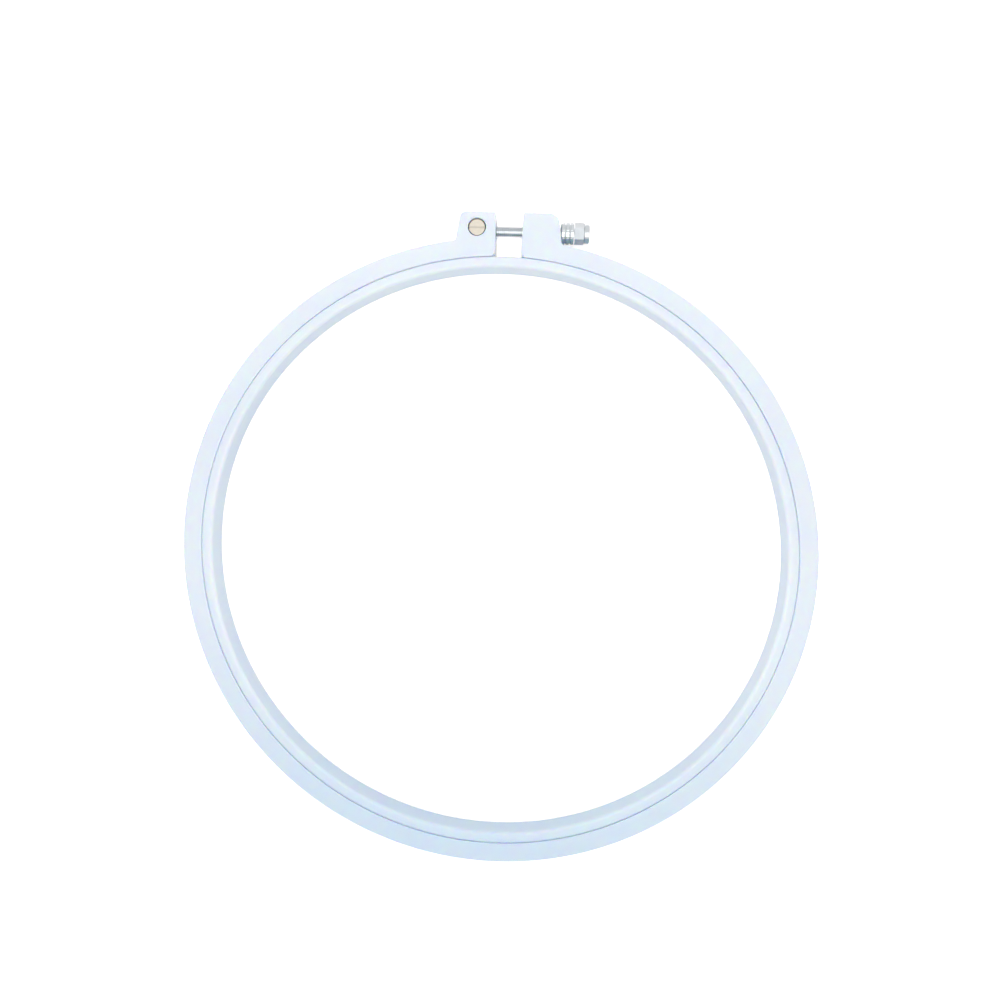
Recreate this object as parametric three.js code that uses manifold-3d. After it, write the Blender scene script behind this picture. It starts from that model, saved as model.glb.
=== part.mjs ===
// Plastic embroidery hoop with a screw clamp.
// A closed inner ring sits inside a split outer ring. Two lugs stand up beside the split. A steel
// thumb screw passes through the right lug, crosses the gap and threads into a brass barrel nut
// that lies across the left lug. Turning the screw draws the lugs together and grips the cloth.
// Millimetres. The hoop lies flat: Z is its height, the clamp is towards +Y, the screw's head +X.
import * as THREE from "three";
import { mergeVertices } from "three/addons/utils/BufferGeometryUtils.js";
import Module from "manifold-3d";

const wasm = await Module();
wasm.setup();

// Both rings.
const hoopDiameter = 203.2; // outside of the inner ring, by which a hoop is sold (8 inches)
const ringHeight = 10;
const ringClearance = 0.3; // between the two rings
const bulge = 1.3; // the soft rings stand this far out of round, on the radius
const bulgeDirection = 162; // degrees from +X to the rings' long axis
const innerRingWidth = 3.8;
const outerRingWidth = 6;
const edgeRadius = 0.5; // on every moulded edge but the inner ring's inside
const thumbRadius = 1.2; // on the inside edges of the inner ring

// The two lugs and the gap between them.
const clampGap = 8.8; // at the rings, where the split begins
const gapFlare = 1.2; // degrees by which each lug's face leans back from the gap
const lugRise = 8.7; // above the outside of the outer ring
const lugTopSpread = 33.4; // over both lugs at their tops
const lugBaseSpread = 36.3; // over both lugs where they leave the ring
const leftShoulderRadius = 2.2; // where a lug's top meets its outer side
const rightShoulderRadius = 3.6;
const lugTipRadius = 0.7; // where a lug's top meets the gap
const lugMouthRadius = 1.9; // where the gap meets the bore of the outer ring
const lugRootRadius = 1; // where a lug's outer side meets the ring

// Barrel nut, upright in the left lug.
const barrelDiameter = 5.5;
const barrelClearance = 0.35; // round the barrel in its bore
const barrelSetback = 11; // from the middle of the gap
const barrelSink = 0.6; // below each face of the lug
const barrelChamfer = 0.2;
const barrelSlotWidth = 0.6; // shows which way the threaded hole points
const barrelSlotDepth = 0.2;

// Clamp screw, along X at half the height of the lugs.
const shankDiameter = 3.9;
const screwRise = 3.5; // axis above the outside of the outer ring
const threadClearance = 0.25; // between the shank and the nut's hole
const holeClearance = 0.55; // round the shank in the lugs, so that the screw can swing with the nut
const tipInset = 1.3; // from the left lug's side back to the tip
const tipChamfer = 0.6;
const seatDepth = 0.25; // the head's seat, cut square to the screw into the sloping lug
const seatClearance = 0.3; // between the seat and the head
const seatMargin = 0.65; // round the head
const collarDiameter = 7.6; // knurled collar beside the lug
const collarLength = 5;
const hexAcrossCorners = 7.3; // band for a spanner or pliers
const hexLength = 3.2;
const hexTurn = 16.6; // degrees that the uppermost flat is turned down towards the rings
const hexChamfer = 0.25;
const neckDiameter = 6; // core inside the hexagonal band
const endCollarDiameter = 7;
const endCollarLength = 1.9;
const headChamfer = 0.35;
const driverSlotWidth = 1; // the slot lies level with the uppermost flat
const driverSlotDepth = 1.2;

// Fineness of the curves.
const ringSteps = 120; // round a full ring
const filletSteps = 4; // round each corner
const bevelSteps = 3; // over each long edge
const turnedSteps = 32; // round each turned piece
const overcut = 1; // how far a cutter runs past what it cuts

// Sizes that follow from these.
const quarterTurn = Math.PI / 2;
const gripRadius = hoopDiameter / 2; // outside of the inner ring
const boreRadius = gripRadius + ringClearance; // inside of the outer ring
const outsideRadius = boreRadius + outerRingWidth;
const outsideAtClamp = wallRadius(outsideRadius, quarterTurn);
const lugTop = outsideAtClamp + lugRise;
const screwY = outsideAtClamp + screwRise;
const screwZ = ringHeight / 2;
const shankRadius = shankDiameter / 2;
const collarRadius = collarDiameter / 2;
const lugRight = lugCorners(1);
const lugLeft = lugCorners(-1);
const seatX = lugSideX(lugRight, screwY) - seatDepth;
const headX = seatX + seatClearance;
const tipX = lugSideX(lugLeft, screwY) + tipInset;

// Distance from the hoop's centre to a ring wall, in one direction. The wall's mean radius is
// given, and the bulge lengthens it along the long axis and shortens it across.
function wallRadius(meanRadius, angle) {
  const longAxis = THREE.MathUtils.degToRad(bulgeDirection);
  return meanRadius + bulge * Math.cos(2 * (angle - longAxis));
}

function wallPoint(meanRadius, angle) {
  const radius = wallRadius(meanRadius, angle);
  return new THREE.Vector2(radius * Math.cos(angle), radius * Math.sin(angle));
}

// A stretch of a ring wall as corners without a radius, both ends left out.
function wallArc(meanRadius, from, to) {
  const steps = Math.ceil((Math.abs(to - from) / (2 * Math.PI)) * ringSteps);
  const points = [];
  for (let i = 1; i < steps; i++)
    points.push({ at: wallPoint(meanRadius, from + ((to - from) * i) / steps) });
  return points;
}

// The corners of one lug, seen from above. side is 1 for the right lug and -1 for the left.
function lugCorners(side) {
  const boreAtClamp = wallRadius(boreRadius, quarterTurn);
  const mouthAngle = quarterTurn - side * Math.asin(clampGap / 2 / boreAtClamp);
  const rootAngle = quarterTurn - side * Math.asin(lugBaseSpread / 2 / outsideAtClamp);
  const mouth = wallPoint(boreRadius, mouthAngle);
  const lean = (lugTop - mouth.y) * Math.tan(THREE.MathUtils.degToRad(gapFlare));
  return {
    mouthAngle,
    rootAngle,
    mouth,
    tip: new THREE.Vector2(side * (clampGap / 2 + lean), lugTop),
    shoulder: new THREE.Vector2((side * lugTopSpread) / 2, lugTop),
    root: wallPoint(outsideRadius, rootAngle),
  };
}

// Where a lug's sloping outer side lies at a given height above the hoop's centre.
function lugSideX(lug, y) {
  const share = (lug.shoulder.y - y) / (lug.shoulder.y - lug.root.y);
  return THREE.MathUtils.lerp(lug.shoulder.x, lug.root.x, share);
}

// Replaces every corner that has a radius by an arc that touches its two sides.
// A radius that the sides are too short for is limited by them.
function roundCorners(corners) {
  const outline = [];
  corners.forEach((corner, i) => {
    if (!corner.radius) {
      outline.push(corner.at);
      return;
    }
    const before = corners.at(i - 1).at.clone().sub(corner.at);
    const after = corners[(i + 1) % corners.length].at.clone().sub(corner.at);
    const halfAngle = before.angleTo(after) / 2;
    const longest = 0.48 * Math.min(before.length(), after.length());
    const radius = Math.min(corner.radius, longest * Math.tan(halfAngle));
    const reach = radius / Math.tan(halfAngle);
    const start = before.clone().setLength(reach).add(corner.at);
    const end = after.clone().setLength(reach).add(corner.at);
    const toCentre = before.normalize().add(after.normalize());
    const centre = toCentre.setLength(radius / Math.sin(halfAngle)).add(corner.at);
    const startAngle = start.sub(centre).angle();
    let turn = end.sub(centre).angle() - startAngle;
    if (turn > Math.PI) turn -= 2 * Math.PI;
    if (turn < -Math.PI) turn += 2 * Math.PI;
    for (let k = 0; k <= filletSteps; k++) {
      const angle = startAngle + (turn * k) / filletSteps;
      const spoke = new THREE.Vector2(Math.cos(angle), Math.sin(angle));
      outline.push(spoke.multiplyScalar(radius).add(centre));
    }
  });
  return outline;
}

// A closed ring: its section's x is measured from the ring's mean radius, and its y is the height.
function sweepRing(meanRadius, section) {
  const positions = [];
  for (let i = 0; i < ringSteps; i++) {
    const angle = (i / ringSteps) * 2 * Math.PI;
    const radius = wallRadius(meanRadius, angle);
    for (const point of section) {
      const reach = radius + point.x;
      positions.push(reach * Math.cos(angle), reach * Math.sin(angle), point.y);
    }
  }
  const indices = [];
  for (let i = 0; i < ringSteps; i++)
    for (let j = 0; j < section.length; j++) {
      const nextRow = ((i + 1) % ringSteps) * section.length;
      const row = i * section.length;
      const next = (j + 1) % section.length;
      indices.push(row + j, nextRow + j, nextRow + next);
      indices.push(row + j, nextRow + next, row + next);
    }
  const geometry = new THREE.BufferGeometry();
  geometry.setAttribute("position", new THREE.Float32BufferAttribute(positions, 3));
  geometry.setIndex(indices);
  return geometry;
}

// A solid turned about X, from a profile of [x, radius] points that starts and ends on the axis.
function turnAlongX(profile) {
  const points = profile.map(([x, radius]) => new THREE.Vector2(radius, x));
  return new THREE.LatheGeometry(points, turnedSteps).rotateZ(-quarterTurn);
}

// The same, standing up along Z.
function turnAlongZ(profile) {
  const points = profile.map(([z, radius]) => new THREE.Vector2(radius, z));
  return new THREE.LatheGeometry(points, turnedSteps).rotateX(quarterTurn);
}

// A plain round rod along X, its axis at the screw's height.
function rodAlongX(radius, fromX, toX) {
  return turnAlongX([
    [fromX, 0],
    [fromX, radius],
    [toX, radius],
    [toX, 0],
  ]).translate(0, screwY, screwZ);
}

function toSolid(geometry) {
  const bare = geometry.clone();
  bare.deleteAttribute("normal");
  bare.deleteAttribute("uv");
  const merged = mergeVertices(bare, 1e-4);
  return new wasm.Manifold(
    new wasm.Mesh({
      numProp: 3,
      vertProperties: new Float32Array(merged.attributes.position.array),
      triVerts: new Uint32Array(merged.index.array),
    }),
  );
}

function toGeometry(solid) {
  const mesh = solid.getMesh();
  const geometry = new THREE.BufferGeometry();
  geometry.setAttribute("position", new THREE.BufferAttribute(mesh.vertProperties, 3));
  geometry.setIndex(new THREE.BufferAttribute(mesh.triVerts, 1));
  geometry.computeVertexNormals();
  return geometry;
}

// Closed ring, gripped by the outer ring and holding the cloth from inside.
function innerRing() {
  const section = roundCorners([
    { at: new THREE.Vector2(0, 0), radius: edgeRadius },
    { at: new THREE.Vector2(0, ringHeight), radius: edgeRadius },
    { at: new THREE.Vector2(-innerRingWidth, ringHeight), radius: thumbRadius },
    { at: new THREE.Vector2(-innerRingWidth, 0), radius: thumbRadius },
  ]);
  const geometry = sweepRing(gripRadius, section);
  geometry.computeVertexNormals();
  return geometry;
}

// Split ring and its two lugs, one moulding: from the right lug clockwise along the outside to
// the left lug, and back along the bore.
function outerRingOutline() {
  const fullTurn = 2 * Math.PI;
  return roundCorners([
    { at: lugRight.mouth, radius: lugMouthRadius },
    { at: lugRight.tip, radius: lugTipRadius },
    { at: lugRight.shoulder, radius: rightShoulderRadius },
    { at: lugRight.root, radius: lugRootRadius },
    ...wallArc(outsideRadius, lugRight.rootAngle, lugLeft.rootAngle - fullTurn),
    { at: lugLeft.root, radius: lugRootRadius },
    { at: lugLeft.shoulder, radius: leftShoulderRadius },
    { at: lugLeft.tip, radius: lugTipRadius },
    { at: lugLeft.mouth, radius: lugMouthRadius },
    ...wallArc(boreRadius, lugLeft.mouthAngle - fullTurn, lugRight.mouthAngle),
  ]);
}

function outerRing() {
  const moulding = new THREE.ExtrudeGeometry(new THREE.Shape(outerRingOutline()), {
    depth: ringHeight - 2 * edgeRadius,
    bevelThickness: edgeRadius,
    bevelSize: edgeRadius,
    bevelOffset: -edgeRadius,
    bevelSegments: bevelSteps,
  }).translate(0, 0, edgeRadius);

  const barrelBoreRadius = barrelDiameter / 2 + barrelClearance;
  const barrelBore = turnAlongZ([
    [-overcut, 0],
    [-overcut, barrelBoreRadius],
    [ringHeight + overcut, barrelBoreRadius],
    [ringHeight + overcut, 0],
  ]).translate(-barrelSetback, screwY, 0);
  const reach = lugBaseSpread / 2 + overcut;
  const screwHole = rodAlongX(shankRadius + holeClearance, -reach, reach);
  const headSeat = rodAlongX(collarRadius + seatMargin, seatX, seatX + collarLength);

  return toGeometry(
    toSolid(moulding)
      .subtract(toSolid(barrelBore))
      .subtract(toSolid(screwHole))
      .subtract(toSolid(headSeat)),
  );
}

// Short round bar with a hole across it for the screw and a shallow slot in its upper end.
function barrelNut() {
  const radius = barrelDiameter / 2;
  const low = barrelSink;
  const high = ringHeight - barrelSink;
  const bar = turnAlongZ([
    [low, 0],
    [low, radius - barrelChamfer],
    [low + barrelChamfer, radius],
    [high - barrelChamfer, radius],
    [high, radius - barrelChamfer],
    [high, 0],
  ]).translate(-barrelSetback, screwY, 0);
  const threadedHole = rodAlongX(
    shankRadius + threadClearance,
    -barrelSetback - radius - overcut,
    -barrelSetback + radius + overcut,
  );
  const slot = new THREE.BoxGeometry(
    barrelDiameter + 2 * overcut,
    barrelSlotWidth,
    2 * barrelSlotDepth,
  ).translate(-barrelSetback, screwY, high);
  return toGeometry(toSolid(bar).subtract(toSolid(threadedHole)).subtract(toSolid(slot)));
}

// Shank, knurled collar, hexagonal band and end collar, turned from one bar, with a driver slot.
function clampScrew() {
  const hexX = headX + collarLength;
  const endCollarX = hexX + hexLength;
  const endX = endCollarX + endCollarLength;
  const neckRadius = neckDiameter / 2;
  const endRadius = endCollarDiameter / 2;
  const hexRadius = hexAcrossCorners / 2;
  const turned = THREE.MathUtils.degToRad(hexTurn);

  const bar = turnAlongX([
    [tipX, 0],
    [tipX, shankRadius - tipChamfer],
    [tipX + tipChamfer, shankRadius],
    [headX, shankRadius],
    [headX, collarRadius - headChamfer],
    [headX + headChamfer, collarRadius],
    [hexX - headChamfer, collarRadius],
    [hexX, collarRadius - headChamfer],
    [hexX, neckRadius],
    [endCollarX, neckRadius],
    [endCollarX, endRadius],
    [endX - headChamfer, endRadius],
    [endX, endRadius - headChamfer],
    [endX, 0],
  ]).translate(0, screwY, screwZ);

  // The prism's corners point along Y, so that one flat faces up before it is turned.
  const prism = new THREE.CylinderGeometry(hexRadius, hexRadius, hexLength + headChamfer, 6)
    .rotateX(quarterTurn)
    .rotateY(quarterTurn)
    .rotateX(turned)
    .translate(hexX + (hexLength - headChamfer) / 2, screwY, screwZ);
  const hexTrim = turnAlongX([
    [hexX - headChamfer - overcut, 0],
    [hexX - headChamfer - overcut, hexRadius + overcut],
    [endCollarX - hexChamfer - overcut, hexRadius + overcut],
    [endCollarX, hexRadius - hexChamfer],
    [endCollarX, 0],
  ]).translate(0, screwY, screwZ);
  const hexBand = toSolid(prism).intersect(toSolid(hexTrim));

  const slot = new THREE.BoxGeometry(
    2 * driverSlotDepth,
    endCollarDiameter + 2 * overcut,
    driverSlotWidth,
  )
    .rotateX(turned)
    .translate(endX, screwY, screwZ);
  return toGeometry(toSolid(bar).add(hexBand).subtract(toSolid(slot)));
}

function piece(name, geometry, color, roughness, metalness) {
  const material = new THREE.MeshStandardMaterial({ color, roughness, metalness });
  const mesh = new THREE.Mesh(geometry, material);
  mesh.name = name;
  return mesh;
}

// The pieces are drawn about the rings' centre. The group moves them so that the hoop's own
// origin lies midway between its foot and the tops of its lugs, on the surface that it lies on.
const hoop = new THREE.Group();
hoop.add(
  piece("outer_ring", outerRing(), "#dbe9f6", 0.35, 0),
  piece("inner_ring", innerRing(), "#dbe9f6", 0.35, 0),
  piece("barrel_nut", barrelNut(), "#e9dcc0", 0.4, 1),
  piece("clamp_screw", clampScrew(), "#c3c7cb", 0.25, 1),
);
const outline = new THREE.Box3().setFromObject(hoop);
hoop.position.y = -outline.getCenter(new THREE.Vector3()).y;

const part = new THREE.Group();
part.add(hoop);

export default part;
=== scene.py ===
"""Plastic embroidery hoop with a screw clamp, dressed around its packed model.

The packed model gives the bodies and their places. Four pieces are drawn over it: the closed inner
ring, the split outer ring with its lugs, the barrel nut and the clamp screw. Each has an operator,
as the studio has, and main() calls them in order. Everything is in metres, in the packed model's
frame: the hoop lies flat with its clamp towards +Y.
"""

import math
from collections import namedtuple

import bmesh
import bpy
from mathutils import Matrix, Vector


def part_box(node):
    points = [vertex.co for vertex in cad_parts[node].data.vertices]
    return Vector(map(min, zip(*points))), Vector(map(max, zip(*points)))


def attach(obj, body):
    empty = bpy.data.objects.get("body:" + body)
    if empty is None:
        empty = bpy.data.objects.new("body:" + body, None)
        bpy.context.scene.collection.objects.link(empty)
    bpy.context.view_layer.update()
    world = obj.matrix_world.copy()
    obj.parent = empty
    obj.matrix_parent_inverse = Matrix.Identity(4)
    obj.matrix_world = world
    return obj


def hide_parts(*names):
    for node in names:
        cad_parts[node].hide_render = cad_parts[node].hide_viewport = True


bl_info = {
    "name": "Embroidery hoop",
    "version": (1, 0, 0),
    "blender": (4, 5, 0),
    "location": "3D View > Sidebar > Hoop",
    "description": "Draws a plastic embroidery hoop with a screw clamp",
    "category": "Add Mesh",
}

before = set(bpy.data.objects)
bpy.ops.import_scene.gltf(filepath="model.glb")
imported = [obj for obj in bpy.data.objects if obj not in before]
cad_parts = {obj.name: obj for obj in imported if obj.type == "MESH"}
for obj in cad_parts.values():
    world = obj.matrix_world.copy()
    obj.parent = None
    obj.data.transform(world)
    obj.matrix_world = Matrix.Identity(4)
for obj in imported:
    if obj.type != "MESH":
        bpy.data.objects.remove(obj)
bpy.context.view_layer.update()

MM = 0.001
TURN = 2 * math.pi
QUARTER = math.pi / 2
ALONG = Vector((1, 0, 0))  # the way that the screw's head points
UP = Vector((0, 0, 1))
OVERCUT = 1 * MM  # how far a cutter runs past what it cuts
WELD = 1e-7  # vertices nearer than this are one
CLOSE = 10 * WELD  # vertices nearer than this are meant to be one
TOUCH = 0.01 * MM  # what is nearer to a wall or a corner than this lies on it

RING_STEPS = 240  # round a full ring
CORNER_STEPS = 8  # round a corner of the outline
EDGE_STEPS = 4  # over a rounded edge
NUT_EDGE_STEPS = 3  # over the edges of the nut's ends
BREAK_STEPS = 2  # over an edge that is only broken
FLAT_STEPS = 1  # over a flat chamfer
TURNED_STEPS = 96  # round a turned piece
PIN_STEPS = 48  # round an ejector mark
THREAD_STEPS = 32  # round one turn of the thread
GROOVE_STEPS = 16  # round a grip groove's own section
HEX_SIDES = 6

# The thread's section over one pitch: share of the pitch, and whether the point is on the crest.
THREAD_SECTION = ((0, False), (0.2, False), (0.45, True), (0.75, True), (1, False))
THREAD_LEAD = 0.77  # of a pitch, by which the thread starts early: no vertex lies on a cut

WHITE = (1, 1, 1, 1)
SPECK = (0.42, 0.47, 0.53, 1)  # grey specks in the moulding
SENSOR_WIDTH = 36  # of the camera, in millimetres
FLOOR_SIZE = 6  # metres along each side


def length(name, description, millimetres):
    """A size property in metres, its default given in millimetres."""
    return bpy.props.FloatProperty(
        name=name,
        description=description,
        default=millimetres * MM,
        min=0,
        precision=5,
        subtype="DISTANCE",
        unit="LENGTH",
    )


def angle(name, description, degrees):
    """An angle property, its default given in degrees."""
    return bpy.props.FloatProperty(
        name=name,
        description=description,
        default=math.radians(degrees),
        subtype="ANGLE",
        unit="ROTATION",
    )


def count(name, description, default):
    """A whole-number property."""
    return bpy.props.IntProperty(name=name, description=description, default=default, min=1)


def share(name, description, default):
    """A property from 0 to 1."""
    return bpy.props.FloatProperty(
        name=name, description=description, default=default, min=0, max=1, subtype="FACTOR"
    )


def colour(name, description, default):
    """A linear colour property."""
    return bpy.props.FloatVectorProperty(
        name=name, description=description, default=default, min=0, max=1, size=3, subtype="COLOR"
    )


def power(name, description, watts):
    """The power of a lamp."""
    return bpy.props.FloatProperty(
        name=name, description=description, default=watts, min=0, unit="POWER"
    )


def place(name, description, millimetres):
    """A point in metres, its default given in millimetres."""
    return bpy.props.FloatVectorProperty(
        name=name,
        description=description,
        default=[value * MM for value in millimetres],
        size=3,
        precision=5,
        subtype="TRANSLATION",
        unit="LENGTH",
    )


class RingSizes(bpy.types.PropertyGroup):
    """Sizes of the two rings."""

    grip: length("Grip diameter", "Outside of the inner ring, by which a hoop is sold", 203.2)
    height: length("Height", "Height of both rings", 10)
    clearance: length("Clearance", "Space between the two rings", 0.06)
    bulge: length("Bulge", "How far the soft rings stand out of round, on the radius", 1.3)
    bulge_direction: angle("Bulge direction", "From +X to the rings' long axis", 162)
    inner_width: length("Inner width", "Width of the inner ring's face", 3.8)
    outer_width: length("Outer width", "Width of the outer ring's face", 6.24)
    edge: length("Edge radius", "Radius on the outer ring's edges", 0.5)
    seam_edge: length("Seam edge radius", "Radius on the outer ring's edges at the seam", 0.7)
    seam_chamfer: length("Seam chamfer", "On the inner ring's outside edges", 0.5)
    seam_blend: length("Seam blend", "Over which the seam edge runs out at the lugs", 8)
    thumb_edge: length("Inside edge radius", "Radius on the inner ring's inside edges", 1.2)
    pin_diameter: length("Ejector mark diameter", "Marks of the mould's ejector pins", 3)
    pin_depth: length("Ejector mark depth", "Depth of the ejector marks", 0.03)
    pin_marks: count("Ejector marks", "Ejector marks round the inner ring", 6)
    pin_start: angle("First ejector mark", "From +X to the first ejector mark", -2)


class LugSizes(bpy.types.PropertyGroup):
    """Sizes of the two lugs and the gap between them."""

    gap: length("Gap", "Between the lugs, where the split begins", 8.8)
    flare: angle("Flare", "How far each lug's face leans back from the gap", 1.2)
    rise: length("Rise", "Above the outside of the outer ring", 8.7)
    top_spread: length("Top spread", "Over both lugs at their tops", 33.4)
    base_spread: length("Base spread", "Over both lugs where they leave the ring", 36.3)
    left_shoulder: length("Left shoulder", "Radius of the left lug's outer corner", 2.2)
    right_shoulder: length("Right shoulder", "Radius of the right lug's outer corner", 3.6)
    tip: length("Tip radius", "Where a lug's top meets the gap", 0.7)
    mouth: length("Mouth radius", "Where the gap meets the bore of the outer ring", 1.9)
    root: length("Root radius", "Where a lug's outer side meets the ring", 1)
    bore_edge: length("Bore edge", "Chamfer round the barrel's bore", 0.12)
    hole_clearance: length("Hole clearance", "Round the shank in the lugs", 0.55)
    seat_depth: length("Seat depth", "Depth of the head's seat in the right lug", 0.25)
    seat_margin: length("Seat margin", "Of the seat round the head", 0.65)


class NutSizes(bpy.types.PropertyGroup):
    """Sizes of the barrel nut."""

    diameter: length("Diameter", "Across the barrel", 5.5)
    clearance: length("Clearance", "Round the barrel in its bore", 0.35)
    setback: length("Setback", "From the middle of the gap to the barrel's axis", 11)
    sink: length("Sink", "Below each face of the lug", 0.6)
    chamfer: length("Chamfer", "Round both ends", 0.2)
    hole_clearance: length("Hole clearance", "Round the shank in the threaded hole", 0.25)
    groove_width: length("Groove width", "Across the worn groove in the upper end", 0.8)
    groove_depth: length("Groove depth", "At the middle of the worn groove", 0.05)


class ScrewSizes(bpy.types.PropertyGroup):
    """Sizes of the clamp screw."""

    diameter: length("Thread diameter", "Over the crests of the thread", 4)
    pitch: length("Pitch", "From one crest to the next", 0.7)
    thread_depth: length("Thread depth", "From crest to root", 0.38)
    rise: length("Rise", "Axis above the outside of the outer ring", 3.5)
    tip_inset: length("Tip inset", "From the left lug's side back to the tip", 1.3)
    tip_chamfer: length("Tip chamfer", "Chamfer at the tip", 0.6)
    seat_clearance: length("Seat clearance", "Between the seat and the head", 0.5)
    collar_diameter: length("Collar diameter", "Over the knurled collar", 7.8)
    collar_length: length("Collar length", "Length of the knurled collar", 4.8)
    knurl_depth: length("Knurl depth", "Depth of the diamonds", 0.08)
    knurls_round: count("Knurls round", "Diamonds round the collar", 16)
    knurls_along: count("Knurls along", "Diamonds along the collar", 3)
    grip_grooves: count("Grip grooves", "Round grooves that part the collar's ridges", 2)
    groove_radius: length("Groove radius", "Of a round groove's own section", 0.3)
    hex_corners: length("Hex diameter", "Across the corners of the hexagonal band", 7.3)
    hex_length: length("Hex length", "Length of the hexagonal band", 3.2)
    hex_turn: angle("Hex turn", "From a flat facing up to the flat's own direction", 16.6)
    hex_chamfer: length("Hex chamfer", "On the band's corners at their outer end", 0.25)
    neck_diameter: length("Neck diameter", "Core inside the hexagonal band", 6)
    end_diameter: length("End diameter", "Over the end collar", 7)
    end_length: length("End length", "Length of the end collar", 1.9)
    chamfer: length("Chamfer", "On the collars' edges", 0.35)
    slot_width: length("Slot width", "Across the driver slot", 1)
    slot_depth: length("Slot depth", "Depth of the driver slot", 1.2)


class Finishes(bpy.types.PropertyGroup):
    """Colours and gloss of the three materials."""

    plastic: colour("Plastic", "Powder-blue moulded plastic", (0.745, 0.835, 0.935))
    plastic_roughness: share("Plastic roughness", "Soft gloss of the moulding", 0.34)
    brass: colour("Brass", "Pale turned brass", (0.81, 0.75, 0.64))
    brass_roughness: share("Brass roughness", "Satin turned face", 0.38)
    steel: colour("Steel", "Bright zinc plate", (0.66, 0.695, 0.72))
    steel_roughness: share("Steel roughness", "Bright plate", 0.2)
    flat_roughness: share("Flat roughness", "Duller drawn flats of the hexagonal band", 0.6)


class Studio(bpy.types.PropertyGroup):
    """Floor, light and camera."""

    floor: colour("Floor", "White paper, as it lights the object", (0.66, 0.72, 0.76))
    floor_lift: share("Floor lift", "Light that the camera sees in the paper", 0.54)
    floor_tint: colour("Floor tint", "Of that light, against the sky's blue", (1.0, 0.92, 0.87))
    sky: colour("Sky", "Light from all round", (0.655, 0.837, 1.0))
    sky_strength: share("Sky strength", "Light from all round, on the object", 0.645)
    backdrop: share("Backdrop", "Brightness of the room behind the object", 1)
    box_power: power("Softbox power", "Power of the softbox over the hoop", 0.333)
    box_width: length("Softbox width", "Along X", 200)
    box_depth: length("Softbox depth", "Along Y", 350)
    box_place: place("Softbox place", "Middle of the softbox", (0, -95, 350))
    pool_power: power("Pool power", "Of the warm lamp, which lights all but the foot", 7)
    pool_size: length("Pool lamp size", "Radius of the warm lamp", 60)
    pool_place: place("Pool lamp place", "Where the warm lamp hangs", (20, 70, 620))
    pool_angle: angle("Pool angle", "Of the lamp's cone, across the hoop's width", 34)
    pool_blend: share("Pool blend", "How much of the pool's edge is soft", 0.35)
    pool_stretch: bpy.props.FloatProperty(
        name="Pool stretch", description="Width of the pool over its depth", default=1.9, min=1
    )
    pool_colour: colour("Pool colour", "Warm", (1.0, 0.61, 0.36))
    window_power: power("Window power", "Power of the soft light from behind the clamp", 0.21)
    window_size: length("Window size", "Along each side", 200)
    window_place: place("Window place", "Middle of the light behind the clamp", (0, 330, 230))
    window_angle: angle("Window angle", "From facing down to facing the hoop's foot", -62)
    camera_place: place("Camera place", "Where the camera stands", (13.86, 17.63, 292.75))
    camera_turn: bpy.props.FloatVectorProperty(
        name="Camera turn",
        description="The camera's rotation from looking straight down",
        default=[math.radians(value) for value in (-0.784, 2.685, 2.393)],
        size=3,
        subtype="EULER",
        unit="ROTATION",
    )
    lens: bpy.props.FloatProperty(
        name="Focal length", description="With a sensor 36 mm wide", default=29.81, unit="CAMERA"
    )


# Places that follow from the sizes. They are worked out about the rings' common centre.

Lug = namedtuple("Lug", "mouth tip shoulder root mouth_angle root_angle")


def wall_radius(mean_radius, direction):
    """Distance from the rings' centre to a wall that the bulge takes out of round."""
    rings = bpy.context.scene.hoop_rings
    return mean_radius + rings.bulge * math.cos(2 * (direction - rings.bulge_direction))


def wall_point(mean_radius, direction):
    """Point of a wall in one direction from the rings' centre."""
    radius = wall_radius(mean_radius, direction)
    return Vector((radius * math.cos(direction), radius * math.sin(direction), 0))


def wall_points(mean_radius, start, end):
    """Points along a wall between two directions, both ends left out."""
    steps = math.ceil(abs(end - start) / TURN * RING_STEPS)
    return [wall_point(mean_radius, start + (end - start) * i / steps) for i in range(1, steps)]


def bore_radius():
    """Mean radius of the outer ring's inside."""
    rings = bpy.context.scene.hoop_rings
    return rings.grip / 2 + rings.clearance


def outside_radius():
    """Mean radius of the outer ring's outside."""
    return bore_radius() + bpy.context.scene.hoop_rings.outer_width


def hoop_centre():
    """The rings' common centre in the packed model's frame: its foot is the model's lowest Y."""
    foot = wall_radius(outside_radius(), -QUARTER)
    return Vector((0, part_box("outer_ring")[0].y + foot, 0))


def lug(side):
    """Corners of one lug seen from above. side is 1 for the right lug and -1 for the left."""
    lugs = bpy.context.scene.hoop_lugs
    bore_at_clamp = wall_radius(bore_radius(), QUARTER)
    outside_at_clamp = wall_radius(outside_radius(), QUARTER)
    top = outside_at_clamp + lugs.rise
    mouth_angle = QUARTER - side * math.asin(lugs.gap / 2 / bore_at_clamp)
    root_angle = QUARTER - side * math.asin(lugs.base_spread / 2 / outside_at_clamp)
    mouth = wall_point(bore_radius(), mouth_angle)
    lean = (top - mouth.y) * math.tan(lugs.flare)
    return Lug(
        mouth=mouth,
        tip=Vector((side * (lugs.gap / 2 + lean), top, 0)),
        shoulder=Vector((side * lugs.top_spread / 2, top, 0)),
        root=wall_point(outside_radius(), root_angle),
        mouth_angle=mouth_angle,
        root_angle=root_angle,
    )


def lug_side_x(corners, y):
    """Where a lug's sloping outer side lies at a height above the rings' centre."""
    drop = (corners.shoulder.y - y) / (corners.shoulder.y - corners.root.y)
    return corners.shoulder.x + (corners.root.x - corners.shoulder.x) * drop


def screw_axis():
    """A point on the screw's axis, in the middle of the gap."""
    rise = bpy.context.scene.hoop_screw.rise
    y = wall_radius(outside_radius(), QUARTER) + rise
    return hoop_centre() + Vector((0, y, bpy.context.scene.hoop_rings.height / 2))


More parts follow.
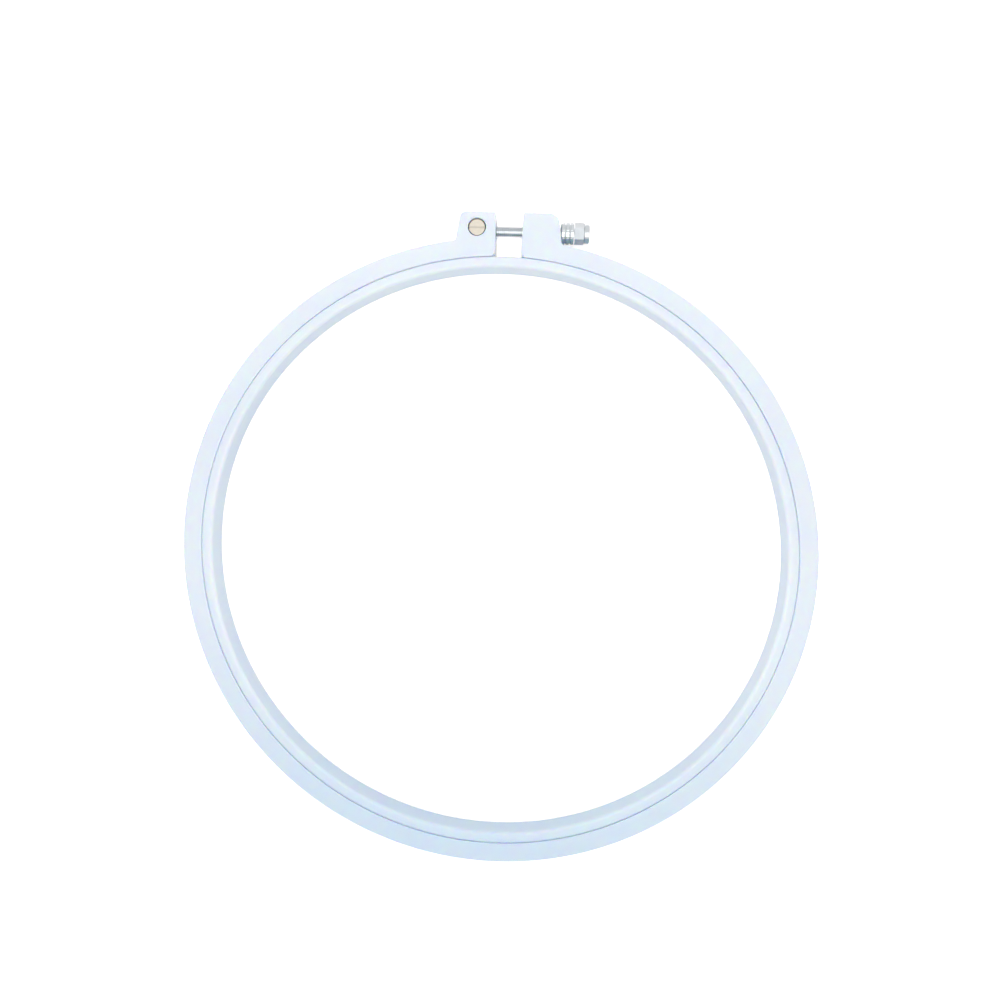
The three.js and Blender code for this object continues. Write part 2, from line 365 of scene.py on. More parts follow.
def seat_x():
    """Where the head's seat is cut square into the right lug's sloping side."""
    height = (screw_axis() - hoop_centre()).y
    return lug_side_x(lug(1), height) - bpy.context.scene.hoop_lugs.seat_depth


def head_x():
    """Where the screw's head begins."""
    return seat_x() + bpy.context.scene.hoop_screw.seat_clearance


def tip_x():
    """Where the screw's tip ends, inside the left lug."""
    height = (screw_axis() - hoop_centre()).y
    return lug_side_x(lug(-1), height) + bpy.context.scene.hoop_screw.tip_inset


# Modelling steps that several pieces share.


def clear_selection():
    """Leaves object mode with nothing selected."""
    if bpy.context.object and bpy.context.object.mode != "OBJECT":
        bpy.ops.object.mode_set(mode="OBJECT")
    bpy.ops.object.select_all(action="DESELECT")


def take(piece):
    """Makes one object the selected and active one."""
    clear_selection()
    piece.select_set(True)
    bpy.context.view_layer.objects.active = piece


def edit(piece, element="VERT"):
    """Opens one object in edit mode with nothing in it selected."""
    take(piece)
    bpy.ops.object.mode_set(mode="EDIT")
    bpy.ops.mesh.select_mode(type=element)
    bpy.ops.mesh.select_all(action="DESELECT")


def close():
    """Leaves edit mode."""
    bpy.ops.object.mode_set(mode="OBJECT")


def pick(elements, wanted):
    """Selects the verts, edges or faces of the open mesh that a test wants."""
    mesh = bpy.context.object.data
    shape = bmesh.from_edit_mesh(mesh)
    chosen = [item for item in getattr(shape, elements) if wanted(item)]
    if not chosen:
        raise RuntimeError(f"nothing to select among the {elements} of {mesh.name}")
    bpy.ops.mesh.select_all(action="DESELECT")
    for item in chosen:
        item.select_set(True)
    shape.select_flush_mode()
    bmesh.update_edit_mesh(mesh)


def pick_all():
    """Selects all of the open mesh."""
    bpy.ops.mesh.select_all(action="SELECT")


def middle(item):
    """Middle of an edge or a face."""
    return sum((vertex.co for vertex in item.verts), Vector()) / len(item.verts)


def settle(piece):
    """Moves an object's place, turn and scale into its mesh."""
    take(piece)
    bpy.ops.object.transform_apply(location=True, rotation=True, scale=True)


def weld():
    """Merges doubled vertices of the open mesh and turns its faces outwards."""
    pick_all()
    bpy.ops.mesh.remove_doubles(threshold=WELD)
    bpy.ops.mesh.normals_make_consistent(inside=False)


def apply_modifier(piece, kind, **settings):
    """Adds a modifier, sets it and applies it."""
    take(piece)
    bpy.ops.object.modifier_add(type=kind)
    modifier = piece.modifiers[-1]
    for name, value in settings.items():
        setattr(modifier, name, value)
    bpy.ops.object.modifier_apply(modifier=modifier.name)


def combine(piece, tool, operation):
    """Cuts a piece by a tool, or joins or crosses the two, and removes the tool."""
    apply_modifier(piece, "BOOLEAN", operation=operation, object=tool, solver="EXACT")
    bpy.data.meshes.remove(tool.data)


def rod(radius, start, end, steps=TURNED_STEPS):
    """A round bar between two points."""
    clear_selection()
    along = end - start
    bpy.ops.mesh.primitive_cylinder_add(
        vertices=steps,
        radius=radius,
        depth=along.length,
        location=(start + end) / 2,
        rotation=along.to_track_quat("Z", "Y").to_euler(),
    )
    bar = bpy.context.object
    settle(bar)
    return bar


def block(size, centre):
    """A square-edged bar."""
    clear_selection()
    bpy.ops.mesh.primitive_cube_add(size=1, location=centre, scale=size)
    bar = bpy.context.object
    settle(bar)
    return bar


def trace(points):
    """Draws a chain of edges by extruding one vertex from point to point. It stays open."""
    clear_selection()
    bpy.ops.mesh.primitive_plane_add(size=MM, location=points[0])
    drawing = bpy.context.object
    settle(drawing)
    edit(drawing)
    pick_all()
    bpy.ops.mesh.merge(type="CENTER")
    for before, after in zip(points, points[1:]):
        bpy.ops.mesh.extrude_region_move(TRANSFORM_OT_translate={"value": after - before})
    return drawing


def near(point, distance=CLOSE):
    """A test for vertices at a point."""
    return lambda vertex: (vertex.co - point).length < distance


def square_to(axis):
    """A test for edges that run square to an axis: 0 for X, 2 for Z."""
    return lambda edge: abs(edge.verts[0].co[axis] - edge.verts[1].co[axis]) < WELD


def bevel(width, steps, affect="EDGES"):
    """Bevels what is selected in the open mesh."""
    bpy.ops.mesh.bevel(offset=width, offset_type="OFFSET", segments=steps, affect=affect)


def round_corner(corner, before, after, radius, steps=CORNER_STEPS):
    """Rounds one corner of the open outline to a radius, or cuts it flat with one step."""
    half_angle = (before - corner).angle(after - corner) / 2
    pick("verts", near(corner, TOUCH))
    bevel(radius / math.tan(half_angle), steps, "VERTICES")


def finish(piece, name, part, material, crease=30):
    """Names a piece, gives it its finish and sets it on its body in place of the plain node.

    part names both that body and its node. From crease on, in degrees, an edge stays sharp.
    """
    take(piece)
    piece.name = name
    piece.data.name = name
    piece.data.materials.clear()
    piece.data.materials.append(material)
    bpy.ops.object.shade_smooth_by_angle(angle=math.radians(crease))
    apply_modifier(piece, "WEIGHTED_NORMAL", keep_sharp=True)
    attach(piece, part)
    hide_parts(part)


# Finishes.


def fill(tree, node, values=None, sources=None):
    """Gives a node's inputs their values, or the outputs that feed them."""
    for socket, value in (values or {}).items():
        node.inputs[socket].default_value = value
    for socket, source in (sources or {}).items():
        tree.links.new(source, node.inputs[socket])
    return node


def add_node(tree, kind, values=None, sources=None, **settings):
    """Adds a node with its own settings and fills its inputs."""
    node = tree.nodes.new("ShaderNode" + kind)
    for name, setting in settings.items():
        setattr(node, name, setting)
    return fill(tree, node, values, sources)


def new_finish(name):
    """A material, its node tree, its shader and the coordinates of the piece itself."""
    material = bpy.data.materials.new(name)
    material.use_nodes = True
    tree = material.node_tree
    on_piece = add_node(tree, "TexCoord").outputs["Object"]
    return material, tree, tree.nodes["Principled BSDF"], on_piece


def noise(tree, where, scale, detail):
    """A value that wanders about one half."""
    values = {"Scale": scale, "Detail": detail}
    return add_node(tree, "TexNoise", values, {"Vector": where}).outputs["Fac"]


def tones(tree, value, base, start, end, first, last):
    """One colour in two tones: first of it where the value is up to start, last of it from end."""
    ramp = add_node(tree, "ValToRGB", sources={"Fac": value})
    for i, (position, tone) in enumerate(((start, first), (end, last))):
        stop = ramp.color_ramp.elements[i]
        stop.position = position
        stop.color = [min(1, tone * c) for c in base] + [1]
    return ramp.outputs["Color"]


def uneven(tree, value, roughness, smoother, duller):
    """Roughness that varies with a value, from smoother to duller than its own."""
    values = {"To Min": roughness - smoother, "To Max": roughness + duller}
    return add_node(tree, "MapRange", values, {"Value": value}).outputs["Result"]


def relief(tree, height, strength, depth):
    """Fine relief from a value."""
    values = {"Strength": strength, "Distance": depth}
    return add_node(tree, "Bump", values, {"Height": height}).outputs["Normal"]


def moulded_plastic():
    """Powder-blue plastic with a soft gloss, faint flow clouding and a few moulding specks."""
    looks = bpy.context.scene.hoop_finishes
    material, tree, shader, on_piece = new_finish("powder_blue_moulding")
    clouding = noise(tree, on_piece, scale=28, detail=3)
    tint = tones(tree, clouding, looks.plastic, start=0.35, end=0.65, first=0.985, last=1.01)
    cells = add_node(tree, "TexVoronoi", {"Scale": 70}, {"Vector": on_piece})
    from_cell = cells.outputs["Distance"]
    specks = tones(tree, from_cell, WHITE[:3], start=0.008, end=0.016, first=1, last=0)
    mixed = {"Factor": specks, "A": tint}
    specked = add_node(tree, "Mix", {"B": SPECK}, mixed, data_type="RGBA")
    gloss = noise(tree, on_piece, scale=320, detail=2)
    skin = noise(tree, on_piece, scale=900, detail=2)
    values = {
        "Specular IOR Level": 0.35,
        "Subsurface Weight": 1,
        "Subsurface Radius": (2.4, 1.4, 0.5),
        "Subsurface Scale": 1 * MM,
    }
    sources = {
        "Base Color": specked.outputs["Result"],
        "Roughness": uneven(tree, gloss, looks.plastic_roughness, smoother=0.05, duller=0.05),
        "Normal": relief(tree, skin, strength=0.25, depth=0.01 * MM),
    }
    fill(tree, shader, values, sources)
    return material


def turned_brass():
    """Pale brass with the rings that turning leaves on the nut's ends, and painted shade along the
    groove.
    """
    looks, nut = bpy.context.scene.hoop_finishes, bpy.context.scene.hoop_nut
    material, tree, shader, on_piece = new_finish("pale_turned_brass")
    from_axis = {"Location": (nut.setback, -screw_axis().y, 0)}
    centred = add_node(tree, "Mapping", from_axis, {"Vector": on_piece}).outputs["Vector"]
    mottle = noise(tree, on_piece, scale=700, detail=3)
    tint = tones(tree, mottle, looks.brass, start=0.3, end=0.7, first=0.93, last=1)
    sides = add_node(tree, "SeparateXYZ", sources={"Vector": centred})
    off_line = add_node(tree, "Math", sources={0: sides.outputs["Y"]}, operation="ABSOLUTE")
    # Painted shade: the tint darkens to 0.8 of itself along the groove across the upper end, and
    # fades out 0.6 mm from the groove's middle
    groove_shade = add_node(
        tree,
        "MapRange",
        {"From Min": 0.15 * MM, "From Max": 0.6 * MM, "To Min": 0.8, "To Max": 1},
        {"Value": off_line.outputs["Value"]},
        interpolation_type="SMOOTHSTEP",
    )
    shade_on_tint = {"Vector": tint, "Scale": groove_shade.outputs["Result"]}
    shaded_tint = add_node(tree, "VectorMath", sources=shade_on_tint, operation="SCALE")
    rings = add_node(
        tree,
        "TexWave",
        {"Scale": 1400, "Distortion": 1.5, "Detail": 2},
        {"Vector": centred},
        wave_type="RINGS",
        rings_direction="Z",
    )
    sources = {
        "Base Color": shaded_tint.outputs["Vector"],
        "Roughness": uneven(tree, mottle, looks.brass_roughness, smoother=0.06, duller=0.08),
        "Normal": relief(tree, rings.outputs["Fac"], strength=0.3, depth=0.01 * MM),
    }
    fill(tree, shader, {"Metallic": 1}, sources)
    return material


def zinc_plate():
    """Bright zinc-plated steel with fine turning lines round the screw's axis."""
    looks, screw = bpy.context.scene.hoop_finishes, bpy.context.scene.hoop_screw
    material, tree, shader, on_piece = new_finish("bright_zinc_plate")
    cloud = noise(tree, on_piece, scale=500, detail=3)
    across = add_node(tree, "Mapping", {"Scale": (9000, 120, 120)}, {"Vector": on_piece})
    lines = noise(tree, across.outputs["Vector"], scale=1, detail=1)
    bright = uneven(tree, lines, looks.steel_roughness, smoother=0.07, duller=0.07)
    sides = add_node(tree, "SeparateXYZ", sources={"Vector": on_piece})
    band = head_x() + screw.collar_length + screw.hex_length / 2
    on_band = add_node(  # 1 along the hexagonal band, 0 elsewhere
        tree,
        "Math",
        {1: band, 2: screw.hex_length / 2},
        {0: sides.outputs["X"]},
        operation="COMPARE",
    )
    duller = add_node(
        tree,
        "Math",
        {1: looks.flat_roughness - looks.steel_roughness},
        {0: on_band.outputs["Value"], 2: bright},
        operation="MULTIPLY_ADD",
    )
    sources = {
        "Base Color": tones(tree, cloud, looks.steel, start=0.3, end=0.7, first=0.92, last=1),
        "Roughness": duller.outputs["Value"],
        "Normal": relief(tree, lines, strength=0.2, depth=0.005 * MM),
    }
    fill(tree, shader, {"Metallic": 1}, sources)
    return material


def material_of(name, maker):
    """The named material, made the first time that a piece asks for it."""
    return bpy.data.materials.get(name) or maker()


# The operators.


class HOOP_OT_studio(bpy.types.Operator):
    """Lays the white floor, hangs the lamps and sets the camera above the hoop"""

    bl_idname = "hoop.studio"
    bl_label = "Set up the studio"

    def execute(self, context):
        studio = context.scene.hoop_studio
        self.lay_floor(studio)
        self.light_room(studio)
        self.hang_softbox(studio)
        self.hang_pool_lamp(studio)
        self.hang_window(studio)
        self.set_camera(studio)
        context.scene.view_settings.view_transform = "Standard"
        return {"FINISHED"}

    def seen_directly(self, tree):
        """A value that is 1 for what the camera, a reflection or clear glass sees."""
        rays = add_node(tree, "LightPath").outputs
        seen = rays["Is Camera Ray"]
        for ray in ("Is Glossy Ray", "Is Transmission Ray"):
            either = add_node(tree, "Math", sources={0: seen, 1: rays[ray]}, operation="MAXIMUM")
            seen = either.outputs["Value"]
        return seen

    def lay_floor(self, studio):
        """White paper that looks white to the camera and still takes the hoop's shadow."""
        clear_selection()
        bpy.ops.mesh.primitive_plane_add(size=FLOOR_SIZE)
        floor = bpy.context.object
        floor.name = "floor"
        paper = bpy.data.materials.new("white_paper")
        paper.use_nodes = True
        tree = paper.node_tree
        seen = self.seen_directly(tree)
        lift = add_node(tree, "Math", {1: studio.floor_lift}, {0: seen}, operation="MULTIPLY")
        shades = {"A": list(studio.floor) + [1], "B": WHITE}
        shade = add_node(tree, "Mix", shades, {"Factor": seen}, data_type="RGBA")
        values = {
            "Roughness": 1,
            "Specular IOR Level": 0,
            "Emission Color": list(studio.floor_tint) + [1],
        }
        sources = {
            "Base Color": shade.outputs["Result"],
            "Emission Strength": lift.outputs["Value"],
        }
        fill(tree, tree.nodes["Principled BSDF"], values, sources)
        floor.data.materials.append(paper)

    def light_room(self, studio):
        """Even light from all round, and the pale room that reflections and side views show."""
        world = bpy.data.worlds.new("pale_room")
        world.use_nodes = True
        bpy.context.scene.world = world
        tree = world.node_tree
        sky = {"Color": list(studio.sky) + [1], "Strength": studio.sky_strength}
        light = fill(tree, tree.nodes["Background"], sky)
        room = add_node(tree, "Background", {"Color": WHITE, "Strength": studio.backdrop})
        sources = {
            "Fac": self.seen_directly(tree),
            1: light.outputs["Background"],
            2: room.outputs["Background"],
        }
        choice = add_node(tree, "MixShader", sources=sources)
        fill(tree, tree.nodes["World Output"], sources={"Surface": choice.outputs["Shader"]})

    def hang_softbox(self, studio):
        """An oblong softbox that faces straight down: the metal mirrors it as its white band."""
        clear_selection()
        bpy.ops.object.light_add(type="AREA", location=studio.box_place)
        box = bpy.context.object
        box.name = "softbox"
        box.data.shape = "RECTANGLE"
        box.data.size = studio.box_width
        box.data.size_y = studio.box_depth
        box.data.energy = studio.box_power

    def hang_pool_lamp(self, studio):
        """A warm lamp straight above, whose soft oval pool of light ends short of the foot."""
        clear_selection()
        bpy.ops.object.light_add(type="SPOT", location=studio.pool_place)
        lamp = bpy.context.object
        lamp.name = "pool_lamp"
        lamp.scale = (studio.pool_stretch, 1, 1)
        lamp.data.shadow_soft_size = studio.pool_size
        lamp.data.spot_size = studio.pool_angle
        lamp.data.spot_blend = studio.pool_blend
        lamp.data.color = studio.pool_colour
        lamp.data.energy = studio.pool_power
        lamp.visible_glossy = False

    def hang_window(self, studio):
        """Soft light from behind the clamp: it lifts the walls and edges that face the clamp."""
        clear_selection()
        bpy.ops.object.light_add(
            type="AREA", location=studio.window_place, rotation=(studio.window_angle, 0, 0)
        )
        window = bpy.context.object
        window.name = "window"
        window.data.shape = "SQUARE"
        window.data.size = studio.window_size
        window.data.energy = studio.window_power
        window.visible_glossy = False

    def set_camera(self, studio):
        """The camera close above the hoop, looking nearly straight down."""
        clear_selection()
        bpy.ops.object.camera_add(location=studio.camera_place, rotation=studio.camera_turn)
        camera = bpy.context.object
        camera.data.sensor_width = SENSOR_WIDTH
        camera.data.lens = studio.lens
        bpy.context.scene.camera = camera


class HOOP_OT_inner_ring(bpy.types.Operator):
    """Draws the closed inner ring"""

    bl_idname = "hoop.inner_ring"
    bl_label = "Draw the inner ring"

    def execute(self, context):
        rings = context.scene.hoop_rings
        ring = self.spin_section(rings)
        self.push_out_of_round(ring, rings)
        self.press_ejector_marks(ring, rings)
        finish(
            ring,
            name="inner_ring_moulding",
            part="inner_ring",
            material=material_of("powder_blue_moulding", moulded_plastic),
        )
        return {"FINISHED"}

    def spin_section(self, rings):
        """Spins a section with chamfered outside corners and rounded inside ones into a ring."""
        outside = rings.grip / 2
        inside = outside - rings.inner_width
        corners = [
            Vector((outside, 0, 0)),
            Vector((outside, 0, rings.height)),
            Vector((inside, 0, rings.height)),
            Vector((inside, 0, 0)),
        ]
        edges = [(rings.seam_chamfer, FLAT_STEPS)] * 2 + [(rings.thumb_edge, CORNER_STEPS)] * 2
        ring = trace(corners)
        pick_all()
        bpy.ops.mesh.edge_face_add()
        for i, (width, steps) in enumerate(edges):
            round_corner(corners[i], corners[i - 1], corners[(i + 1) % 4], width, steps)
        pick_all()
        bpy.ops.mesh.delete(type="ONLY_FACE")
        pick_all()
        bpy.ops.mesh.spin(steps=RING_STEPS, angle=TURN, center=(0, 0, 0), axis=UP)
        weld()
        close()
        return ring

    def push_out_of_round(self, ring, rings):
        """Stretches the round ring along its long axis, narrows it across, and moves it home."""
        mean = rings.grip / 2 - rings.inner_width / 2
        ring.scale = (1 + rings.bulge / mean, 1 - rings.bulge / mean, 1)
        settle(ring)
        ring.rotation_euler.z = rings.bulge_direction
        ring.location = hoop_centre()
        settle(ring)

    def press_ejector_marks(self, ring, rings):
        """Round marks, hardly sunk, where the mould's pins pushed on the ring's face."""
        for i in range(rings.pin_marks):
            direction = rings.pin_start + TURN * i / rings.pin_marks
            spot = wall_point(rings.grip / 2 - rings.inner_width / 2, direction) + hoop_centre()
            low = spot + UP * (rings.height - rings.pin_depth)
            high = spot + UP * (rings.height + OVERCUT)
            pin = rod(rings.pin_diameter / 2, low, high, PIN_STEPS)
            combine(ring, pin, "DIFFERENCE")


class HOOP_OT_outer_ring(bpy.types.Operator):
    """Draws the split outer ring with its two lugs"""

    bl_idname = "hoop.outer_ring"
    bl_label = "Draw the outer ring"

    def execute(self, context):
        rings = context.scene.hoop_rings
        lugs = context.scene.hoop_lugs
        ring = self.trace_outline(lugs)
        self.raise_outline(ring, rings)
        ring.location = hoop_centre()
        settle(ring)
        self.bore_lugs(ring, context)
        finish(
            ring,
            name="outer_ring_moulding",
            part="outer_ring",
            material=material_of("powder_blue_moulding", moulded_plastic),
        )
        return {"FINISHED"}

    def trace_outline(self, lugs):
        """Ring and lugs seen from above, in one outline with its corners rounded."""
        right, left = lug(1), lug(-1)
        points = [right.mouth, right.tip, right.shoulder, right.root]
        points += wall_points(outside_radius(), right.root_angle, left.root_angle - TURN)
        points += [left.root, left.shoulder, left.tip, left.mouth]
        points += wall_points(bore_radius(), left.mouth_angle - TURN, right.mouth_angle)
        ring = trace(points)
        ends = (near(points[0]), near(points[-1]))
        pick("verts", lambda vertex: any(end(vertex) for end in ends))
        bpy.ops.mesh.edge_face_add()
        pick_all()
        bpy.ops.mesh.edge_face_add()
        for corners, shoulder in ((right, lugs.right_shoulder), (left, lugs.left_shoulder)):
            for point, radius in (
                (corners.mouth, lugs.mouth),
                (corners.tip, lugs.tip),
                (corners.shoulder, shoulder),
                (corners.root, lugs.root),
            ):
                i = points.index(point)
                round_corner(point, points[i - 1], points[(i + 1) % len(points)], radius)
        return ring

    def raise_outline(self, ring, rings):
        """Extrudes the outline to the ring's height and rounds its upper and lower edges."""
        pick_all()
        bpy.ops.mesh.extrude_region_move(
            TRANSFORM_OT_translate={"value": (0, 0, rings.height)}
        )
        weld()
        shape = bmesh.from_edit_mesh(ring.data)
        weight = shape.edges.layers.float.new("bevel_weight_edge")
        level = square_to(2)
        for edge in shape.edges:
            if level(edge):
                edge[weight] = self.edge_radius(middle(edge), rings) / rings.seam_edge
        bmesh.update_edit_mesh(ring.data)
        close()
        apply_modifier(
            ring, "BEVEL", limit_method="WEIGHT", width=rings.seam_edge, segments=EDGE_STEPS
        )

    def edge_radius(self, point, rings):
        """Radius on the edge at a point: larger at the seam, and running out at the lugs."""
        direction = math.atan2(point.y, point.x)
        if abs(point.xy.length - wall_radius(bore_radius(), direction)) > 2 * TOUCH:
            return rings.edge
        from_lug = min((point.xy - lug(side).mouth.xy).length for side in (1, -1))
        full = min(1, from_lug / rings.seam_blend)
        return rings.edge + (rings.seam_edge - rings.edge) * full

    def bore_lugs(self, ring, context):
        """Cuts the nut's bore, the screw's hole and the head's seat; breaks the bore's edges."""
        rings, lugs = context.scene.hoop_rings, context.scene.hoop_lugs
        nut, screw = context.scene.hoop_nut, context.scene.hoop_screw
        axis = screw_axis()
        bore = nut.diameter / 2 + nut.clearance
        foot = Vector((-nut.setback, axis.y, 0))
        low, high = foot - UP * OVERCUT, foot + UP * (rings.height + OVERCUT)
        combine(ring, rod(bore, low, high), "DIFFERENCE")

        reach = ALONG * (lugs.base_spread / 2 + OVERCUT)
        hole = screw.diameter / 2 + lugs.hole_clearance
        combine(ring, rod(hole, axis - reach, axis + reach), "DIFFERENCE")

        seat = axis + ALONG * seat_x()
        beyond = seat + ALONG * screw.collar_length
        seat_radius = screw.collar_diameter / 2 + lugs.seat_margin
        combine(ring, rod(seat_radius, seat, beyond), "DIFFERENCE")

        edit(ring, "EDGE")
        level = square_to(2)

        def on_rim(edge):
            at_face = min(abs(middle(edge).z), abs(middle(edge).z - rings.height)) < WELD
            away = [(vertex.co.xy - foot.xy).length - bore for vertex in edge.verts]
            return level(edge) and at_face and max(map(abs, away)) < TOUCH

        pick("edges", on_rim)
        bevel(lugs.bore_edge, BREAK_STEPS)
        close()


class HOOP_OT_barrel_nut(bpy.types.Operator):
    """Draws the barrel nut that lies upright in the left lug"""

    bl_idname = "hoop.barrel_nut"
    bl_label = "Draw the barrel nut"

    def execute(self, context):
        rings, nut = context.scene.hoop_rings, context.scene.hoop_nut
        screw = context.scene.hoop_screw
        axis = screw_axis()
        foot = Vector((-nut.setback, axis.y, 0))
        top = rings.height - nut.sink
        barrel = rod(nut.diameter / 2, foot + UP * nut.sink, foot + UP * top)
        edit(barrel, "EDGE")
        pick("edges", square_to(2))
        bevel(nut.chamfer, NUT_EDGE_STEPS)
        close()

        reach = ALONG * (nut.diameter / 2 + OVERCUT)
        middle_of_nut = axis - ALONG * nut.setback
        hole = screw.diameter / 2 + nut.hole_clearance
        combine(barrel, rod(hole, middle_of_nut - reach, middle_of_nut + reach), "DIFFERENCE")

        half, depth = nut.groove_width / 2, nut.groove_depth
        cutter = (half**2 + depth**2) / (2 * depth)  # radius of an arc so wide and deep
        groove = foot + UP * (top - depth + cutter)
        combine(barrel, rod(cutter, groove - reach, groove + reach), "DIFFERENCE")
        finish(
            barrel,
            name="barrel_nut_turned",
            part="barrel_nut",
            material=material_of("pale_turned_brass", turned_brass),
        )
        return {"FINISHED"}


class HOOP_OT_clamp_screw(bpy.types.Operator):
    """Draws the clamp screw with its thread, knurled collar, hexagonal band and end collar"""

    bl_idname = "hoop.clamp_screw"
    bl_label = "Draw the clamp screw"

    def execute(self, context):
        screw = context.scene.hoop_screw
        axis = screw_axis()
        start = axis + ALONG * head_x()
        hex_start = start + ALONG * screw.collar_length
        end_start = hex_start + ALONG * screw.hex_length
        end = end_start + ALONG * screw.end_length

        shank = self.rolled_thread(screw, axis)
        combine(shank, self.knurled_collar(screw, start), "UNION")
        combine(shank, self.hexagonal_band(screw, hex_start), "UNION")
        combine(shank, self.end_collar(screw, end_start), "UNION")
        slot_size = (2 * screw.slot_depth, screw.collar_diameter + OVERCUT, screw.slot_width)
        slot_cutter = block(slot_size, (0, 0, 0))
        slot_cutter.rotation_euler.x = screw.hex_turn
        slot_cutter.location = end
        settle(slot_cutter)
        combine(shank, slot_cutter, "DIFFERENCE")
        finish(
            shank,
            name="clamp_screw_turned",
            part="clamp_screw",
            material=material_of("bright_zinc_plate", zinc_plate),
            crease=22,
        )
        return {"FINISHED"}

    def rolled_thread(self, screw, axis):
        """The thread's section, screwed along the shank, cut to length and pointed at the tip."""
        pitch, crest = screw.pitch, screw.diameter / 2
        root = crest - screw.thread_depth
        start, end = tip_x(), head_x() + screw.chamfer
        turns = math.ceil((end - start) / pitch) + 2  # the cuts take off what is too long
        section = [
            Vector((crest if on_crest else root, 0, pitch * part))
            for part, on_crest in THREAD_SECTION
        ]
        shank = trace(section)
        close()
        apply_modifier(
            shank,
            "SCREW",
            axis="Z",
            angle=TURN,
            screw_offset=pitch,
            iterations=turns,
            steps=THREAD_STEPS,
            render_steps=THREAD_STEPS,
            use_merge_vertices=True,
            merge_threshold=CLOSE,
        )
        shank.rotation_euler.y = QUARTER
        shank.location = (start - pitch * THREAD_LEAD, axis.y, axis.z)
        settle(shank)
        edit(shank)
        for cut, outwards in ((start, -1), (end, 1)):
            pick_all()
            bpy.ops.mesh.bisect(
                plane_co=(cut, 0, 0),
                plane_no=(outwards, 0, 0),
                use_fill=True,
                clear_outer=True,
            )
        weld()
        close()
        return self.point_tip(shank, screw, axis)

    def point_tip(self, shank, screw, axis):
        """Chamfers the shank's tip by keeping what lies inside a pointed blank."""
        margin = 0.1 * MM
        start = Vector((tip_x() - margin, axis.y, axis.z))
        end = Vector((head_x() + screw.collar_length, axis.y, axis.z))
        blank = rod(screw.diameter / 2 + margin, start, end)
        edit(blank, "EDGE")
        pick("edges", lambda edge: all(v.co.x < start.x + WELD for v in edge.verts))
        bevel(screw.tip_chamfer + 2 * margin, FLAT_STEPS)
        close()
        combine(shank, blank, "INTERSECT")
        return shank

    def knurled_collar(self, screw, start):
        """A collar pressed into diamonds and parted into ridges by round grooves.

        The diamonds come from a grid of which every other crossing is pressed in.
        """
        low = start + ALONG * screw.chamfer
        high = start + ALONG * (screw.collar_length - screw.chamfer)
        columns = 2 * screw.knurls_round
        rows = 2 * screw.knurls_along
        collar = rod(screw.collar_diameter / 2, low, high, columns)
        edit(collar, "EDGE")
        at_end = square_to(0)
        pick("edges", lambda edge: not at_end(edge))
        bpy.ops.mesh.subdivide(number_cuts=rows - 1)
        bpy.ops.mesh.select_mode(type="VERT")
        row_height = (high - low).length / rows

        def at_crossing(vertex):
            row = round((vertex.co.x - low.x) / row_height)
            turned = math.atan2(vertex.co.y - low.y, vertex.co.z - low.z)
            column = round(turned / TURN * columns)
            return (row + column) % 2 == 0

        pick("verts", at_crossing)
        pressed = 1 - screw.knurl_depth / (screw.collar_diameter / 2)
        bpy.ops.transform.resize(value=(1, pressed, pressed), center_override=low)
        bpy.ops.mesh.select_mode(type="FACE")
        for end, outwards in ((low, -1), (high, 1)):
            pick("faces", lambda face: abs(middle(face).x - end.x) < WELD)
            bpy.ops.mesh.extrude_region_move(
                TRANSFORM_OT_translate={"value": ALONG * outwards * screw.chamfer}
            )
            narrowed = 1 - screw.chamfer / (screw.collar_diameter / 2)
            bpy.ops.transform.resize(value=(1, narrowed, narrowed), center_override=end)
        pick_all()
        bpy.ops.mesh.quads_convert_to_tris(quad_method="SHORTEST_DIAGONAL")
        weld()
        close()
        for i in range(1, screw.grip_grooves + 1):
            clear_selection()
            bpy.ops.mesh.primitive_torus_add(
                location=start + ALONG * screw.collar_length * i / (screw.grip_grooves + 1),
                rotation=(0, QUARTER, 0),
                major_radius=screw.collar_diameter / 2,
                minor_radius=screw.groove_radius,
                major_segments=TURNED_STEPS,
                minor_segments=GROOVE_STEPS,
            )
            groove = bpy.context.object
            settle(groove)
            combine(collar, groove, "DIFFERENCE")
        return collar

    def hexagonal_band(self, screw, start):
        """Hexagonal band on its round neck, one flat turned to hex_turn from facing up."""
        end = start + ALONG * screw.hex_length
        corners = screw.hex_corners / 2
        band = rod(corners, -ALONG * screw.chamfer, ALONG * screw.hex_length, HEX_SIDES)
        half_side = TURN / (2 * HEX_SIDES)  # the band is made with a corner upwards
        band.rotation_euler.x = half_side + screw.hex_turn
        band.location = start
        settle(band)
        trim = rod(corners + screw.hex_chamfer, start - ALONG * OVERCUT, end)
        edit(trim, "EDGE")
        pick("edges", lambda edge: all(v.co.x > end.x - WELD for v in edge.verts))
        bevel(2 * screw.hex_chamfer, FLAT_STEPS)
        close()
        combine(band, trim, "INTERSECT")
        neck = rod(screw.neck_diameter / 2, start - ALONG * screw.chamfer, end)
        combine(band, neck, "UNION")
        return band

    def end_collar(self, screw, start):
        """Plain collar with both edges chamfered."""
        collar = rod(screw.end_diameter / 2, start, start + ALONG * screw.end_length)
        edit(collar, "EDGE")
        pick("edges", square_to(0))
        bevel(screw.chamfer, BREAK_STEPS)
        close()
        return collar


OPERATORS = (
    HOOP_OT_studio,
    HOOP_OT_inner_ring,
    HOOP_OT_outer_ring,
    HOOP_OT_barrel_nut,
    HOOP_OT_clamp_screw,
)
SETTINGS = {
    "hoop_rings": RingSizes,
    "hoop_lugs": LugSizes,
    "hoop_nut": NutSizes,
    "hoop_screw": ScrewSizes,
    "hoop_finishes": Finishes,
    "hoop_studio": Studio,
}


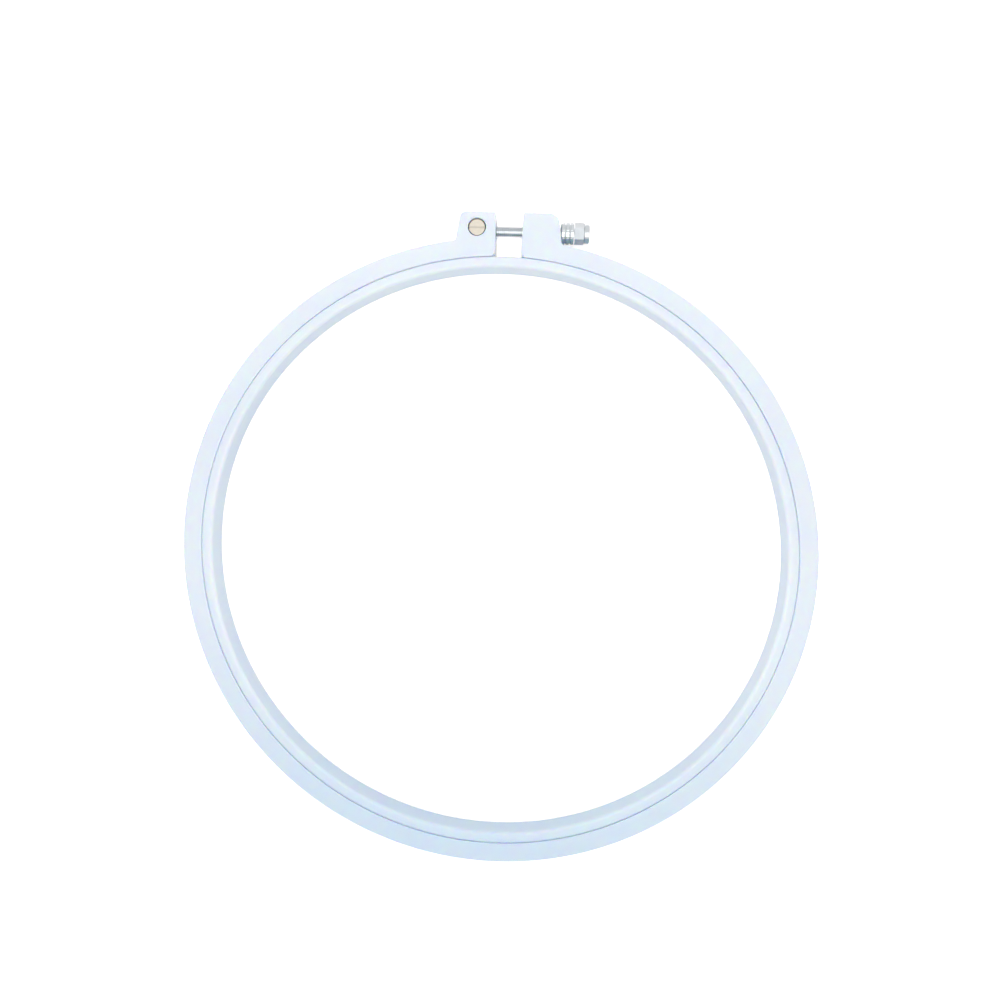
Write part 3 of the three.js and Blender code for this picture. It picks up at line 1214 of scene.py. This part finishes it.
class HOOP_PT_workshop(bpy.types.Panel):
    """The hoop's sizes and the steps that draw it"""

    bl_idname = "HOOP_PT_workshop"
    bl_label = "Embroidery hoop"
    bl_space_type = "VIEW_3D"
    bl_region_type = "UI"
    bl_category = "Hoop"

    def draw(self, context):
        for name, group in SETTINGS.items():
            box = self.layout.box()
            box.label(text=group.__doc__)
            for setting in group.__annotations__:
                box.prop(getattr(context.scene, name), setting)
        for operator in OPERATORS:
            self.layout.operator(operator.bl_idname)


def register():
    for group in SETTINGS.values():
        bpy.utils.register_class(group)
    for name, group in SETTINGS.items():
        setattr(bpy.types.Scene, name, bpy.props.PointerProperty(type=group))
    for operator in OPERATORS:
        bpy.utils.register_class(operator)
    bpy.utils.register_class(HOOP_PT_workshop)


def unregister():
    bpy.utils.unregister_class(HOOP_PT_workshop)
    for operator in reversed(OPERATORS):
        bpy.utils.unregister_class(operator)
    for name, group in SETTINGS.items():
        delattr(bpy.types.Scene, name)
        bpy.utils.unregister_class(group)


def main():
    """Draws everything."""
    register()
    bpy.ops.hoop.studio()
    bpy.ops.hoop.inner_ring()
    bpy.ops.hoop.outer_ring()
    bpy.ops.hoop.barrel_nut()
    bpy.ops.hoop.clamp_screw()


if __name__ == "__main__":
    main()
